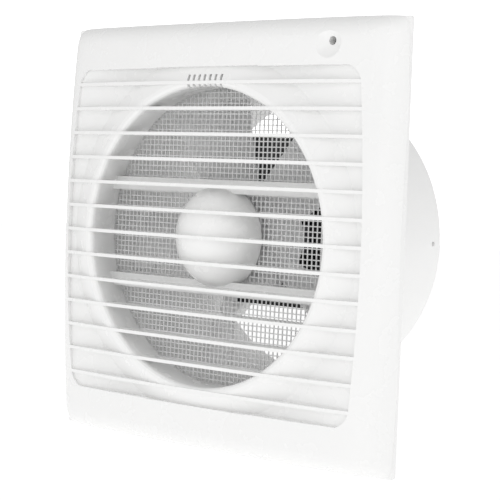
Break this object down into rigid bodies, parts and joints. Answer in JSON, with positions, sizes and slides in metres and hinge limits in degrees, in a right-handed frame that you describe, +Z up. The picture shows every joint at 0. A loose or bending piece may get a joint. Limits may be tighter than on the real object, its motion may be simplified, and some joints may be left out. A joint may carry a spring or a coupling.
{
  "type": "bathroom extractor fan",
  "caption": "Square wall-mounted axial extractor fan with a slatted crowned front, insect net, round duct spigot and a shaded-pole motor turning a bladed impeller.",
  "frame": {"origin": "where the duct axis meets the wall plane, at the back face of the wall flange", "axes": "+Y along the duct axis into the wall, the front faces -Y, +Z up, +X to the right seen from the room"},
  "size_m": [0.205, 0.0985, 0.205],
  "materials": {
    "white_moulding": "gloss",
    "white_net": "satin",
    "white_housing": "satin",
    "white_impeller": "satin",
    "lamination_steel": "dull rolled",
    "copper": "satin",
    "nylon_natural": "matte",
    "copper_enamel": "enamelled",
    "black_tape": "satin",
    "zinc_casting": "as cast",
    "sintered_bronze": "matte",
    "plated_steel": "zinc plated",
    "ground_steel": "ground",
    "cast_aluminium": "as cast",
    "brass_terminal": "bright",
    "black_rubber": "matte",
    "brown_insulation": "satin",
    "blue_insulation": "satin"
  },
  "bodies": {
    "fan_body": {"front_panel": "white_moulding", "insect_net": "white_net", "wall_flange": "white_housing", "spigot_tube": "white_housing", "motor_spider": "white_housing", "stator_core": "lamination_steel", "shading_rings": "copper", "coil_bobbin": "nylon_natural", "coil_winding": "copper_enamel", "coil_tape": "black_tape", "front_bearing_bracket": "zinc_casting", "rear_bearing_bracket": "zinc_casting", "front_bush": "sintered_bronze", "rear_bush": "sintered_bronze", "motor_screws": "plated_steel", "terminal_block": "nylon_natural", "terminal_screws": "brass_terminal", "cable_grommet": "black_rubber", "cable_clamp": "white_housing", "cable_clamp_screws": "plated_steel", "wiring_cover": "white_housing", "wiring_cover_screw": "plated_steel", "live_lead": "brown_insulation", "neutral_lead": "blue_insulation"},
    "rotor": {"shaft": "ground_steel", "rotor_core": "lamination_steel", "rotor_end_rings": "cast_aluminium", "rotor_spacers": "nylon_natural", "impeller": "white_impeller", "impeller_clip": "plated_steel"}
  },
  "joints": [
    {"name": "impeller_spin", "type": "hinge", "parent": "fan_body", "child": "rotor", "pos_m": [0, 0, 0], "axis": [0, -1, 0], "continuous": true}
  ]
}
